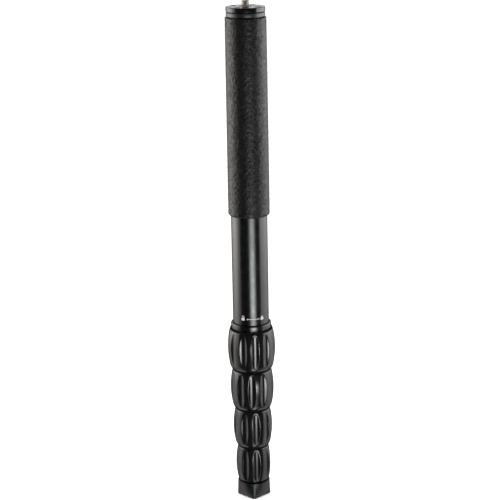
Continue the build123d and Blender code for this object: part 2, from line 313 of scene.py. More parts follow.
# Small rounded leather cells with creases between them.
def makeLeatherCells():
    tree, given, result = newEffect("leatherCells", {"Cell Size": 0.0009}, ["Height", "Crease"])
    place = objectPlace(tree)
    sockets = {"Vector": place, "Scale": maskValues["pushScale"], "Detail": 2.0}
    drift = addNode(tree, "TexNoise", sockets).outputs["Color"]
    push = addVectorMath(tree, "SCALE", {0: drift, "Scale": maskValues["push"]})
    moved = addVectorMath(tree, "ADD", {0: place, 1: push})
    scale = addMath(tree, "DIVIDE", 1.0, given["Cell Size"])
    cells = addNode(tree, "TexVoronoi", {"Vector": moved, "Scale": scale},
                    feature="DISTANCE_TO_EDGE").outputs["Distance"]
    dome = addRange(tree, cells, maskValues["dome"], interpolation_type="SMOOTHSTEP")
    tree.links.new(dome, result["Height"])
    # The crease mask is also used as painted shade, darkening the leather's creases in its finish.
    tree.links.new(addRange(tree, cells, maskValues["crease"]), result["Crease"])


makeEdgeWear()
makeHandling()
makeFineGrain()
makeTurningLines()
makeLeatherCells()
print("monopod: shared effects ready")


def placeEffect(tree, name, **values):
    node = tree.nodes.new("ShaderNodeGroup")
    node.node_tree = effects[name]
    for title, value in values.items():
        node.inputs[title.replace("_", " ")].default_value = value
    return node.outputs


# Sockets 6 and 7 of a colour mix are its colours.
def mixColours(tree, mask, under, over):
    mix = addNode(tree, "Mix", {"Factor": mask, 6: under, 7: over}, data_type="RGBA")
    return mix.outputs[2]


# Drives a socket from one value to another with a mask.
def spread(tree, mask, span, socket):
    tree.links.new(addRange(tree, mask, (0.0, 1.0), span), socket)


# Adds a bump from an effect over any that the surface has.
def addBump(tree, surface, effect, depth):
    bump = addNode(tree, "Bump", {"Height": effect["Height"], "Distance": depth})
    if surface["Normal"].is_linked:
        tree.links.new(surface["Normal"].links[0].from_socket, bump.inputs["Normal"])
    tree.links.new(bump.outputs["Normal"], surface["Normal"])


# A finish from its look. Beside the plain values, most values belong to a shared effect, and
# a look without them goes without that effect.
def makeFinish(name, look):
    material, tree, surface = newMaterial(name, look["plain"])
    touched = placeEffect(tree, "handling", Smudge_Size=look["smudgeSize"])
    masks = {"shade": touched["Smudge"], "dust": touched["Dust"]}
    glossMask = touched["Smudge"]
    if "wearRadius" in look:
        wear = placeEffect(tree, "edgeWear", Radius=look["wearRadius"], Gain=look["wearGain"])
        masks["bare"] = wear["Mask"]
    if "cellSize" in look:
        cells = placeEffect(tree, "leatherCells", Cell_Size=look["cellSize"])
        # The leather's creases get painted shade from this mask, and are made rougher.
        masks["crease"] = glossMask = cells["Crease"]
        mottle = placeEffect(tree, "handling", Smudge_Size=look["mottleSize"])
        spread(tree, mottle["Smudge"], look["specular"], surface["Specular IOR Level"])
    colour = look["colour"]
    for title, mask in masks.items():
        if title in look:
            colour = mixColours(tree, mask, colour, look[title])
    tree.links.new(colour, surface["Base Color"])
    spread(tree, glossMask, look["roughness"], surface["Roughness"])
    if "linePitch" in look:
        lines = placeEffect(tree, "turningLines", Line_Pitch=look["linePitch"])
        addBump(tree, surface, lines, look["lineDepth"])
    if "grainSize" in look:
        grain = placeEffect(tree, "fineGrain", Grain_Size=look["grainSize"],
                            Stretch=look.get("stretch", 1.0))
        addBump(tree, surface, grain, look["grainDepth"])
    if "cellSize" in look:
        addBump(tree, surface, cells, look["cellDepth"])
    return material


# Black anodised aluminium: tubes, collars, locks and head differ in gloss and tool marks.
tubeLook = {
    "plain": {"IOR": 1.6},
    "smudgeSize": 0.012,
    "colour": (0.002, 0.002, 0.0021, 1),
    "dust": (0.03, 0.03, 0.03, 1),
    "bare": (0.025, 0.025, 0.025, 1),
    "wearRadius": 0.0002,
    "wearGain": 2.0,
    "roughness": (0.2, 0.28),
    "grainSize": 0.0002,
    "stretch": 0.06,
    "grainDepth": 0.0000015,
}
platformLook = dict(
    tubeLook,
    roughness=(0.16, 0.24),
    linePitch=0.00016,
    lineDepth=0.000002,
    stretch=1.0,
)
flangeLook = dict(platformLook, plain={"IOR": 1.66}, roughness=(0.36, 0.44))
collarLook = dict(
    tubeLook,
    roughness=(0.18, 0.26),
    linePitch=0.00025,
    lineDepth=0.0000015,
    stretch=1.0,
)
lockLook = dict(
    tubeLook,
    colour=(0.003, 0.003, 0.0032, 1),
    roughness=(0.13, 0.2),
    wearGain=1.0,
    grainSize=0.0005,
    stretch=1.0,
    grainDepth=0.000003,
)
# Painted shade: a matte black that reflects little, on the nuts' necks and in the screw holes, so
# these recesses look shadowed.
paintedShadeLook = dict(lockLook, plain={"IOR": 1.2}, roughness=(0.6, 0.7), wearGain=0.0)

# Pebbled leather of the grip.
leatherLook = {
    "plain": {"IOR": 1.5},
    "specular": (0.14, 0.5),
    "mottleSize": 0.0024,
    "smudgeSize": 0.02,
    "colour": (0.003, 0.003, 0.003, 1),
    # Painted shade: the leather is darker in the creases between its cells.
    "crease": (0.001, 0.001, 0.001, 1),
    "shade": (0.0045, 0.0044, 0.0043, 1),
    "cellSize": 0.0009,
    "cellDepth": 0.00003,
    "grainSize": 0.00018,
    "grainDepth": 0.00001,
    "roughness": (0.36, 0.46),
}

# Rubber, and plain moulded plastics.
rubberLook = {
    "plain": {"IOR": 1.5},
    "colour": (0.002, 0.002, 0.002, 1),
    "shade": (0.0035, 0.0035, 0.0035, 1),
    "dust": (0.015, 0.015, 0.015, 1),
    "roughness": (0.32, 0.42),
    "smudgeSize": 0.006,
    "grainSize": 0.0003,
    "grainDepth": 0.00003,
}
smoothLook = dict(rubberLook, grainDepth=0.00001)
sealLook = dict(smoothLook, colour=(0.01, 0.01, 0.01, 1), roughness=(0.4, 0.5))
colletLook = dict(
    smoothLook,
    colour=(0.62, 0.62, 0.6, 1),
    shade=(0.55, 0.55, 0.53, 1),
    dust=(0.4, 0.39, 0.37, 1),
    roughness=(0.35, 0.45),
)
shimLook = dict(
    smoothLook,
    colour=(0.03, 0.03, 0.031, 1),
    shade=(0.025, 0.025, 0.025, 1),
    roughness=(0.35, 0.5),
)

# Turned metal: the stud, the foot's stud, the plug in the last tube and the screws.
studLook = {
    "plain": {"Metallic": 0.93},
    "colour": (0.86, 0.815, 0.73, 1),
    "shade": (0.72, 0.68, 0.6, 1),
    "roughness": (0.56, 0.66),
    "smudgeSize": 0.003,
    "linePitch": 0.00008,
    "lineDepth": 0.000002,
}
zincLook = dict(
    studLook,
    colour=(0.66, 0.67, 0.69, 1),
    shade=(0.5, 0.5, 0.51, 1),
    roughness=(0.3, 0.42),
)
rawLook = dict(
    studLook,
    colour=(0.82, 0.82, 0.83, 1),
    shade=(0.7, 0.7, 0.71, 1),
    roughness=(0.3, 0.4),
)
screwLook = dict(
    studLook,
    colour=(0.035, 0.034, 0.033, 1),
    shade=(0.02, 0.02, 0.02, 1),
    roughness=(0.3, 0.4),
)

# White print of the marks over the first lock.
printLook = {
    "plain": {"IOR": 1.45},
    "colour": (0.34, 0.34, 0.33, 1),
    "shade": (0.27, 0.27, 0.26, 1),
    "roughness": (0.4, 0.5),
    "smudgeSize": 0.0008,
}

looks = (
    ("tube_black", "anodisedTube", tubeLook),
    ("black_anodised", "anodisedPlatform", platformLook),
    ("collar_black", "anodisedCollar", collarLook),
    ("lock_black", "glossyLock", lockLook),
    ("grip_leather", "pebbledLeather", leatherLook),
    ("foot_rubber", "footRubber", rubberLook),
    ("seal_rubber", "sealRubber", sealLook),
    ("collet_plastic", "colletPlastic", colletLook),
    ("shim_plastic", "shimPlastic", shimLook),
    ("stud_steel", "studSteel", studLook),
    ("screw_black", "blackScrew", screwLook),
    ("raw_aluminium", "bareAluminium", rawLook),
    ("zinc_steel", "zincSteel", zincLook),
)
finishes = {slot: makeFinish(name, look) for slot, name, look in looks}
markPrint = makeFinish("whitePrint", printLook)
satinFlange = makeFinish("satinFlange", flangeLook)
paintedShadeMatte = makeFinish("paintedShadeMatte", paintedShadeLook)
for part in frame["record"]["subparts"]:
    for place in nodes[part["node"]].material_slots:
        place.material = finishes[part["material_slot"]]
print("monopod: finishes made")


# A closed mesh whose faces all look outward.
def closedMesh(name, points, faces):
    mesh = bpy.data.meshes.new(name)
    mesh.from_pydata(points, [], faces)
    build = bmesh.new()
    build.from_mesh(mesh)
    bmesh.ops.recalc_face_normals(build, faces=build.faces)
    build.to_mesh(mesh)
    build.free()
    return mesh


# A smooth piece that rides on its body. Its slot gives the material, unless another is named.
def finishPiece(name, mesh, body, slotName, replaced=(), material=None, sharpDeg=32):
    mesh.materials.clear()
    mesh.materials.append(material or finishes[slotName])
    mesh.shade_smooth()
    mesh.set_sharp_from_angle(angle=math.radians(sharpDeg))
    piece = addObject(name, mesh)
    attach(piece, body)
    if replaced:
        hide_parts(*replaced)
    return piece


def buildPiece(name, shape, *ride, **look):
    return finishPiece(name, closedMesh(name, *shape), *ride, **look)


# Gives the faces that a test picks a second material.
def paintFaces(mesh, material, picked):
    mesh.materials.append(material)
    for face in mesh.polygons:
        if picked(face):
            face.material_index = 1


def stepAngles(steps):
    return [2 * math.pi * step / steps for step in range(steps)]


# Point round the axis. Angles start at the viewer's side and go right.
def pointAt(reach, angle, height):
    return reach * math.sin(angle), -reach * math.cos(angle), height


def inMetres(point):
    return tuple(value * mm for value in point)


# Points and faces turned about Z. A row is a radius and a height in millimetres; the radius
# may be a list, one for each step round.
def turnRows(rows, steps, closed=False):
    points, starts = [], []
    for radius, height in rows:
        starts.append((len(points), radius == 0))
        if radius == 0:
            points.append((0, 0, height * mm))
            continue
        reaches = radius if isinstance(radius, list) else [radius] * steps
        for reach, angle in zip(reaches, stepAngles(steps)):
            points.append(inMetres(pointAt(reach, angle, height)))
    faces = []
    pairs = list(zip(starts, starts[1:] + starts[:1]))
    for (low, lowIsTip), (high, highIsTip) in pairs if closed else pairs[:-1]:
        for step in range(steps):
            after = (step + 1) % steps
            lowEnds = [low] if lowIsTip else [low + step, low + after]
            highEnds = [high] if highIsTip else [high + after, high + step]
            faces.append(lowEnds + highEnds)
    return points, faces


# Points of an arc between two directions from its centre, and the angle that it sweeps.
def arcPoints(centre, size, start, end, steps):
    first = math.atan2(start.y, start.x)
    sweep = (math.atan2(end.y, end.x) - first + math.pi) % (2 * math.pi) - math.pi
    angles = [first + sweep * step / steps for step in range(steps + 1)]
    arc = [(centre.x + size * math.cos(turn), centre.y + size * math.sin(turn)) for turn in angles]
    return arc, sweep


# Arc that leaves a point along a direction and ends at another point, without its first
# point, and the direction at its end.
def tangentArc(start, direction, end, steps):
    start, end, along = Vector(start), Vector(end), Vector(direction).normalized()
    across = Vector((-along.y, along.x))
    span = end - start
    reach = span.length_squared / (2 * across.dot(span))
    centre = start + across * reach
    arc, sweep = arcPoints(centre, abs(reach), start - centre, end - centre, steps)
    return arc[1:], tuple(Matrix.Rotation(sweep, 2) @ along)


# An outline with rounded corners. A corner is a radius, a height and how round it is.
def roundCorners(corners, steps=4):
    line = []
    for index, (x, y, size) in enumerate(corners):
        here = Vector((x, y))
        if size == 0:
            line.append((x, y))
            continue
        before = (Vector(corners[index - 1][:2]) - here).normalized()
        after = (Vector(corners[(index + 1) % len(corners)][:2]) - here).normalized()
        half = before.angle(after) / 2
        centre = here + (before + after).normalized() * (size / math.sin(half))
        start = here + before * (size / math.tan(half)) - centre
        end = here + after * (size / math.tan(half)) - centre
        line += arcPoints(centre, size, start, end, steps)[0]
    return line


def softMin(first, second, blend):
    share = max(blend - abs(first - second), 0) / blend
    return min(first, second) - share * share * blend / 4


# Cuts tool shapes out of a piece's mesh.
def carve(name, shape, tools):
    body = addObject(name + "Blank", closedMesh(name, *shape))
    helpers = [body]
    for tool in tools:
        helper = addObject(name + "Tool", closedMesh(name + "Tool", *tool))
        cut = body.modifiers.new("cut", "BOOLEAN")
        cut.operation = "DIFFERENCE"
        cut.solver = "EXACT"
        cut.object = helper
        helpers.append(helper)
    evaluated = body.evaluated_get(bpy.context.evaluated_depsgraph_get())
    carved = bpy.data.meshes.new_from_object(evaluated)
    carved.name = name
    for item in helpers:
        bpy.data.objects.remove(item)
    return carved


# A block between two corners, turned about Z.
def blockMesh(low, high, turnDeg=0):
    turn = Matrix.Rotation(math.radians(turnDeg), 3, "Z")
    (left, front, bottom), (right, back, top) = low, high
    base = ((left, front), (right, front), (right, back), (left, back))
    corners = [(x, y, z) for z in (bottom, top) for x, y in base]
    points = [tuple(turn @ (Vector(corner) * mm)) for corner in corners]
    faces = [(3, 2, 1, 0), (4, 5, 6, 7)]
    faces += [(0, 1, 5, 4), (1, 2, 6, 5), (2, 3, 7, 6), (3, 0, 4, 7)]
    return points, faces


def heights(node):
    low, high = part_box(node)
    return low.z / mm, high.z / mm


# Outer radius of a tube, counted from the outermost. The collar and the grip are bonded on
# the first one with a small gap.
tubeValues = {"outerRadius": 14.5, "step": 1.65, "bondGap": 0.05}


def tubeRadius(index):
    return tubeValues["outerRadius"] - index * tubeValues["step"]


# Lock nuts: fluted barrels with a plain skirt under a fine groove. Walls count from the nut's
# own tube, and the lip, cone and seal seat inside from the tube that slides out.
lockValues = {
    "steps": 420,
    "barrelRows": 84,
    "wall": 4.75,
    "bellyShare": 0.52,
    "rimDrop": 1.55,
    "rimRound": 0.5,
    "rimSteps": 6,
    "rimStep": 1.25,
    "neckHeight": 1.1,
    "neckLean": 0.7,
    "neckDip": 0.3,
    "lowDrop": 1.6,
    "bottomDrop": 2.6,
    "skirtHeight": 2.6,
    "skirtEdge": (0.04, 0.1),
    "grooveHeight": 0.5,
    "grooveDepth": 0.3,
    "grooveEdge": 0.05,
    "shadowHeights": (0.5, 0.5, 0.5, 1.9),
    "shadowDepth": 0.8,
    "shadowLean": 0.3,
    "shadowEdge": 0.08,
    "fluteCounts": (12, 11, 10, 9),
    "fluteTurnsDeg": (9.0, -0.5, 10.0, 11.0),
    "fluteDepth": 1.4,
    "fluteShare": 0.62,
    "fluteEndInset": 3.8,
    "fluteEndDrop": 0.14,
    "edgeSoftness": 0.3,
    "threadWall": 1.46,
    "threadLow": 14.0,
    "coneTop": (2.7, 9.9),  # wall and height
    "coneLow": (1.3, 4.9),
    "lipGap": 0.35,
    "sealDepth": 1.55,
    "sealHeights": (4.1, 1.6),
    "mouthRound": 0.3,
}


# Size of the round cutter that makes a flute, and how far its middle is from the axis.
def fluteCutter(widest, count, values):
    nose = widest - values["fluteDepth"]
    side = widest * math.cos(math.pi / count * values["fluteShare"])
    cutter = (widest ** 2 + nose ** 2 - 2 * nose * side) / (2 * (side - nose))
    return cutter, nose + cutter


# Radius of the nut at one height, for each step round. The cutter follows a shallow arc up
# the barrel, so a flute is nearly straight and thins out to a point at each end.
def flutedRing(radius, height, widest, ends, index, values):
    low, belly, top = ends
    count = values["fluteCounts"][index]
    cutter, middle = fluteCutter(widest, count, values)
    lowEnd, topEnd = low + values["fluteEndInset"], top - values["fluteEndInset"]
    along = min(max(height, lowEnd), topEnd)
    reach = belly - lowEnd if along < belly else topEnd - belly
    centre = middle - values["fluteEndDrop"] * ((along - belly) / reach) ** 2
    size = cutter ** 2 - (height - along) ** 2
    pitch = 2 * math.pi / count
    ring = []
    for angle in stepAngles(values["steps"]):
        turned = angle - math.radians(values["fluteTurnsDeg"][index])
        offset = (turned + pitch / 2) % pitch - pitch / 2
        gap = size - (centre * math.sin(offset)) ** 2
        flute = centre * math.cos(offset) - math.sqrt(gap) if gap > 0 else widest * 2
        ring.append(softMin(radius, flute, values["edgeSoftness"]))
    return ring, height


# Recess, plain skirt and groove under the barrel, from the bottom up.
def skirtLine(low, bottom, skirt, shadowHeight, values):
    slope = (skirt[0] - bottom) / values["skirtHeight"]
    recess = bottom - values["shadowDepth"]
    edge, grooveEdge = values["shadowEdge"], values["grooveEdge"]
    grooveReach = skirt[0] - values["grooveDepth"]
    return [
        (recess - values["shadowLean"], low),
        (recess, low + shadowHeight),
        (bottom + slope * shadowHeight - edge, low + shadowHeight),
        (bottom + slope * (shadowHeight + edge), low + shadowHeight + edge),
        (skirt[0] - values["skirtEdge"][0], skirt[1] - values["skirtEdge"][1]),
        (grooveReach, skirt[1] + grooveEdge),
        (grooveReach, skirt[1] + values["grooveHeight"] - grooveEdge),
    ]


# Thread bore, cone, seal seat and lip, from the top down.
def nutBore(index, low, top, values):
    inner = tubeRadius(index + 1)
    thread = tubeRadius(index) + values["threadWall"]
    lip = inner + values["lipGap"]
    seat = lip + values["sealDepth"]
    (topWall, coneTop), (lowWall, coneLow) = values["coneTop"], values["coneLow"]
    sealTop, sealLow = values["sealHeights"]
    return roundCorners([
        (thread, top, values["mouthRound"]),
        (thread, low + values["threadLow"], 0),
        (inner + topWall, low + coneTop, 0),
        (inner + lowWall, low + coneLow, 0),
        (lip, low + coneLow, 0),
        (lip, low + sealTop, 0),
        (seat, low + sealTop, 0),
        (seat, low + sealLow, 0),
        (lip, low + sealLow, 0),
        (lip, low, values["mouthRound"]),
    ])


def lockNut(index, values):
    number = str(index + 1)
    name = "lock_nut_" + number
    low, top = heights(name)
    widest = tubeRadius(index) + values["wall"]
    belly = low + (top - low) * values["bellyShare"]
    skirt = (widest - values["lowDrop"], low + values["skirtHeight"])
    half = values["barrelRows"] // 2
    lower = tangentArc((widest, belly), (0, -1), skirt, half)[0]
    rim, shoulder = widest - values["rimDrop"], top - values["neckHeight"]
    rimLow = (rim, shoulder - values["rimRound"])
    rimTop = (rim - values["rimRound"], shoulder)
    upper, upperTurn = tangentArc((widest, belly), (0, 1), rimLow, half)
    edge = tangentArc(upper[-1], upperTurn, rimTop, values["rimSteps"])[0]
    grooveTop = skirt[1] + values["grooveHeight"]
    flank = [point for point in lower[::-1] if point[1] > grooveTop]
    flank += [(widest, belly)] + upper + edge
    ends = (low, belly, top)
    outer = [flutedRing(radius, height, widest, ends, index, values) for radius, height in flank]
    below = skirtLine(low, widest - values["bottomDrop"], skirt, values["shadowHeights"][index],
                     values)
    throat = rim - values["rimStep"]
    neck = [(throat, shoulder - values["neckDip"]), (throat + values["neckLean"], top)]
    rows = below + outer + neck + nutBore(index, low, top, values)
    shape = turnRows(rows, values["steps"], closed=True)
    barrel = buildPiece("lockBarrel_" + number, shape, "lock_" + number, "lock_black", [name],
                        sharpDeg=60)
    # The neck over the shoulder gets the matte painted shade: its faces come after those of the
    # barrel.
    start = (len(below) + len(outer) - 1) * values["steps"]
    end = start + (len(neck) + 1) * values["steps"]
    paintFaces(barrel.data, paintedShadeMatte, lambda face: start <= face.index < end)


for lockIndex in range(len(lockValues["fluteCounts"])):
    lockNut(lockIndex, lockValues)
print("monopod: four fluted lock nuts turned")

# Collar over the first lock, with its shoulder and the thread below it.
collarValues = {
    "wall": 1.78,
    "height": 4.5,
    "topRound": 0.85,
    "lowRound": 0.15,
    "roundSteps": 6,
    "gapWidth": 0.85,
    "gapDepth": 1.3,
    "shadowHeight": 0.4,
    "shadowDepth": 0.5,
    "threadWall": 1.4,
    "threadRound": 0.3,
    "lip": 0.65,
    "lipHeight": 1.5,
    "steps": 160,
}


def firstCollar(values):
    low, top = heights("collar_1")
    tube = tubeRadius(0)
    inner, lip = tube + tubeValues["bondGap"], tube - values["lip"]
    outer, threaded = tube + values["wall"], tube + values["threadWall"]
    shoulderLow = top - values["height"]
    shadowTop = shoulderLow + values["shadowHeight"]
    gap, gapLow = inner + values["gapWidth"], top - values["gapDepth"]
    line = roundCorners([
        (lip, low, 0),
        (threaded, low, values["threadRound"]),
        (threaded, shoulderLow, 0),
        (outer - values["shadowDepth"], shoulderLow, 0),
        (outer - values["shadowDepth"], shadowTop, 0),
        (outer, shadowTop, values["lowRound"]),
        (outer, top, values["topRound"]),
        (gap, top, 0),
        (gap, gapLow, 0),
        (inner, gapLow, 0),
        (inner, low + values["lipHeight"], 0),
        (lip, low + values["lipHeight"], 0),
    ], values["roundSteps"])
    shape = turnRows(line, values["steps"], closed=True)
    buildPiece("collarShoulder", shape, "section_1", "collar_black", ["collar_1"])


firstCollar(collarValues)
print("monopod: collar turned")

# Grip sleeve, with leather grain in its surface.
gripValues = {
    "steps": 300,
    "rowStep": 0.36,
    "topRadius": 16.125,
    "middleRadius": 16.4,
    "lowRadius": 16.525,
    "topLift": 0.5,
    "topRound": 0.9,
    "topSteps": 5,
    "lowRound": 2.0,
    "lowSteps": 8,
    "pebble": 2.2,
    "pebbleDepth": 0.1,
    "creaseShare": 0.5,
    "swell": 9.0,
    "swellDepth": 0.03,
    "crumple": 2.0,
    "crumpleDepth": 0.1,
    "crumpleStretch": 0.75,
    "crumpleShift": (40.0, 20.0, 10.0),
    "lowFade": 1.5,
    "topFade": 0.8,
    "leastFade": 0.15,
}


# How far the leather stands out at one point, in millimetres.
def leatherRelief(spot, values):
    near, after = noise.voronoi(spot / values["pebble"])[0][:2]
    crease = values["creaseShare"]
    pebble = min(after - near, crease) / crease - 1
    swell = noise.noise(spot / values["swell"])
    drawn = Vector((spot.x, spot.y, spot.z * values["crumpleStretch"])) / values["crumple"]
    crumple = noise.noise(drawn + Vector(values["crumpleShift"]))
    return (values["pebbleDepth"] * pebble + values["swellDepth"] * swell
            + values["crumpleDepth"] * crumple)


def gripSleeve(values):
    low, top = heights("grip_sleeve")
    top += values["topLift"]
    inner = tubeRadius(0) + tubeValues["bondGap"]
    lowRadius, topRadius = values["lowRadius"], values["topRadius"]
    flankLow, flankTop = low + values["lowRound"], top - values["topRound"]
    bottom = tangentArc((lowRadius, flankLow), (0, -1), (lowRadius - values["lowRound"], low),
                        values["lowSteps"])[0]
    count = int((flankTop - flankLow) / values["rowStep"])
    bow = values["middleRadius"] - (lowRadius + topRadius) / 2
    flank = []
    for share in [row / count for row in range(count + 1)]:
        radius = lowRadius + (topRadius - lowRadius) * share + 4 * bow * share * (1 - share)
        flank.append((radius, flankLow + (flankTop - flankLow) * share))
    edge = tangentArc(flank[-1], (0, 1), (topRadius - values["topRound"], top),
                      values["topSteps"])[0]
    rows = []
    for radius, height in bottom[::-1] + flank + edge:
        fade = min(1.0, (height - low) / values["lowFade"], (top - height) / values["topFade"])
        fade = max(fade, values["leastFade"])
        spots = [Vector(pointAt(radius, angle, height)) for angle in stepAngles(values["steps"])]
        rows.append(([radius + fade * leatherRelief(spot, values) for spot in spots], height))
    rows += [(inner, top), (inner, low)]
    shape = turnRows(rows, values["steps"], closed=True)
    buildPiece("leatherGrip", shape, "section_1", "grip_leather", ["grip_sleeve"], sharpDeg=60)


gripSleeve(gripValues)
print("monopod: leather grip grained")

# Head: platform, its screws, the plug under it and the camera stud.
platformValues = {
    "radius": 15.3,
    "edge": 0.4,
    "grooveEdge": 0.5,
    "grooveRound": 0.1,
    "grooveLift": 0.6,
    "boreRadius": 4.81,
    "boreRound": 0.15,
    "screwCircle": 11.1,
    "screwTurnDeg": -32.0,
    "screwCount": 4,
    "screwHole": 2.5,
    "holeEdge": 0.12,
    "holeSteps": 48,
    "seatDrop": 2.2,
    "steps": 180,
}


# Middle of each screw. Turns are counted from +X, as in the part's source.
def screwPlaces(values):
    reach, first = values["screwCircle"], math.radians(values["screwTurnDeg"])
    turns = [first + angle for angle in stepAngles(values["screwCount"])]
    return [(reach * math.cos(turn), reach * math.sin(turn)) for turn in turns]


def movedBy(shape, x, y):
    points, faces = shape
    return [(px + x * mm, py + y * mm, pz) for px, py, pz in points], faces


def topPlatform(values):
    low, top = heights("top_platform")
    low += values["grooveLift"]
    bore, radius, hole = values["boreRadius"], values["radius"], values["screwHole"]
    line = roundCorners([
        (bore, low, 0),
        (radius - values["grooveEdge"], low, 0),
        (radius, low + values["grooveEdge"], values["grooveRound"]),
        (radius, top, values["edge"]),
        (bore, top, values["boreRound"]),
    ])
    seat, above = top - values["seatDrop"], top + values["edge"]
    edgeLow, mouth = top - values["holeEdge"], hole + values["holeEdge"]
    cutter = [(0, seat), (hole, seat), (hole, edgeLow), (mouth, top), (mouth, above), (0, above)]
    drill = turnRows(cutter, values["holeSteps"])
    places = screwPlaces(values)
    disc = turnRows(line, values["steps"], closed=True)
    carved = carve("platformDisc", disc, [movedBy(drill, x, y) for x, y in places])
    finishPiece("platformDisc", carved, "section_1", "black_anodised", ["top_platform"])

    def inHole(face):
        x, y, z = face.center / mm
        return z < edgeLow and min(math.dist((x, y), place) for place in places) < hole

    # The walls of the screw holes get the matte painted shade.
    paintFaces(carved, paintedShadeMatte, inHole)


screwValues = {
    "headRadius": 2.2,
    "headDrop": 1.3,
    "headHeight": 0.9,
    "edge": 0.25,
    "underEdge": 0.1,
    "hexAcross": 2.0,
    "hexDepth": 0.6,
    "hexEdge": 0.1,
    "hexCone": 0.25,
    "shankRadius": 1.25,
    "tipRound": 0.3,
    "steps": 72,
}


def platformScrews(values, places):
    low, top = heights("platform_screws")
    top -= values["headDrop"]
    headLow = top - values["headHeight"]
    angles = [(360 * step / values["steps"] + 30) % 60 - 30 for step in range(values["steps"])]
    hexagon = [values["hexAcross"] / 2 / math.cos(math.radians(angle)) for angle in angles]
    line = roundCorners([
        (0, low, 0),
        (values["shankRadius"], low, values["tipRound"]),
        (values["shankRadius"], headLow, 0),
        (values["headRadius"], headLow, values["underEdge"]),
        (values["headRadius"], top, values["edge"]),
    ])
    hexLow = top - values["hexDepth"]
    line += [
        ([reach + values["hexEdge"] for reach in hexagon], top),
        (hexagon, top - values["hexEdge"]),
        (hexagon, hexLow),
        (0, hexLow - values["hexCone"]),
    ]
    screw = turnRows(line, values["steps"])
    allPoints, allFaces = [], []
    for x, y in places:
        points, faces = movedBy(screw, x, y)
        start = len(allPoints)
        allPoints += points
        allFaces += [[start + corner for corner in face] for face in faces]
    buildPiece("platformScrewHeads", (allPoints, allFaces), "section_1", "screw_black",
               ["platform_screws"])


plugValues = {
    "flangeRadius": 15.2,
    "flangeHeight": 3.4,
    "flangeRound": 0.25,
    "edge": 0.5,
    "edgeRound": 0.1,
    "spigotRadius": 13.25,
    "spigotRound": 0.5,
    "boreDepth": 10,
    "steps": 180,
}


def topPlug(values, bore):
    low, top = heights("top_plug")
    top += platformValues["grooveLift"]
    flange, flangeLow = values["flangeRadius"], top - values["flangeHeight"]
    boreLow = flangeLow - values["boreDepth"]
    line = roundCorners([
        (0, low, 0),
        (values["spigotRadius"], low, values["spigotRound"]),
        (values["spigotRadius"], flangeLow, 0),
        (flange, flangeLow, values["flangeRound"]),
        (flange, top - values["edge"], values["edgeRound"]),
        (flange - values["edge"], top, 0),
        (bore, top, 0),
        (bore, boreLow, 0),
        (0, boreLow, 0),
    ])
    buildPiece("headPlug", turnRows(line, values["steps"]), "section_1", "black_anodised",
               ["top_plug"], satinFlange)


studValues = {
    "large": {"radius": 4.7625, "pitch": 1.5875, "depth": 0.75, "slope": 1.2},
    "small": {"radius": 3.175, "pitch": 1.27, "depth": 0.62, "slope": 1.0},
    "crestShare": 0.12,
    "tipDrop": 0.1,
    "rise": 4.7,
    "faceEdge": (0.5, 0.28),
    "faceGap": 0.3,
    "neckCut": 0.6,
    "neckGap": 0.05,
    "slotWidth": 1.2,
    "slotDepth": 1.3,
    "slotReach": 6,
    "steps": 72,
    "rowStep": 0.09,
}


# A helical thread as rows, each with its own radius for each step round. It is cut back with
# a slope from one end, the tip.
def threadRows(low, high, thread, tip, values):
    major, depth, flat = thread["radius"], thread["depth"], values["crestShare"]
    rows = []
    count = int((high - low) / values["rowStep"])
    for row in range(count + 1):
        height = low + (high - low) * row / count
        limit = major - depth - values["tipDrop"] + abs(height - tip) * thread["slope"]
        ring = []
        for step in range(values["steps"]):
            phase = (height / thread["pitch"] - step / values["steps"]) % 1.0
            shaped = (abs(phase - 0.5) * 2 - flat) / (1 - 2 * flat)
            ring.append(min(major - depth * min(max(shaped, 0.0), 1.0), limit))
        rows.append((ring, height))
    return rows


def cameraStud(values):
    low, tip = heights("camera_stud")
    face = tip - values["rise"]
    large, small = values["large"], values["small"]
    inset, drop = values["faceEdge"]
    rows = [(0, low)]
    rows += threadRows(low, face - values["faceGap"], large, low, values)
    rows += [(large["radius"] - inset, face - drop), (small["radius"] + inset, face),
             (small["radius"] - values["neckCut"], face)]
    rows += threadRows(face + values["neckGap"], tip, small, tip, values)
    rows += [(0, tip)]
    half, reach = values["slotWidth"] / 2, values["slotReach"]
    slot = blockMesh((-reach, -half, tip - values["slotDepth"]), (reach, half, tip + 1))
    carved = carve("threadedStud", turnRows(rows, values["steps"]), [slot])
    finishPiece("threadedStud", carved, "section_1", "stud_steel", ["camera_stud"], sharpDeg=40)


topPlatform(platformValues)
platformScrews(screwValues, screwPlaces(platformValues))
topPlug(plugValues, platformValues["boreRadius"])
cameraStud(studValues)
print("monopod: head fitted")

# Rubber foot, square at the sole and round at the rim. Pairs of shares say how far in and how
# far up each row of an edge lies.
footValues = {
    "side": 20.4,
    "cornerRound": 2.2,
    "soleChamfer": 0.7,
    "soleRing": 0.5,
    "soleInset": 0.25,
    "chamferShares": ((0.1, 0.06), (0.5, 0.41), (0.9, 0.76)),
    "wallGap": 0.15,
    "wallRows": 20,
    "roundingPace": 0.7,
    "rimRadius": 13.15,
    "rimSoftness": 0.35,
    "rimShares": ((0.1, 0.45), (0.35, 0.12), (0.6, 0.0)),
    "rimWall": 0.6,
    "rimInner": 0.08,
    "cupEdge": (0.1, 0.15),
    "cupDepth": 1.2,
    "cupSlope": 1.1,
    "cupRound": (0.2, 0.1),
    "socketRadius": 7.95,
    "socketEdge": 0.2,
    "socketFloor": 5.0,
    "grooveWidth": 1.8,
    "grooveDepth": 1.2,
    "grooveTurnsDeg": (45, 135),
    "steps": 240,
}


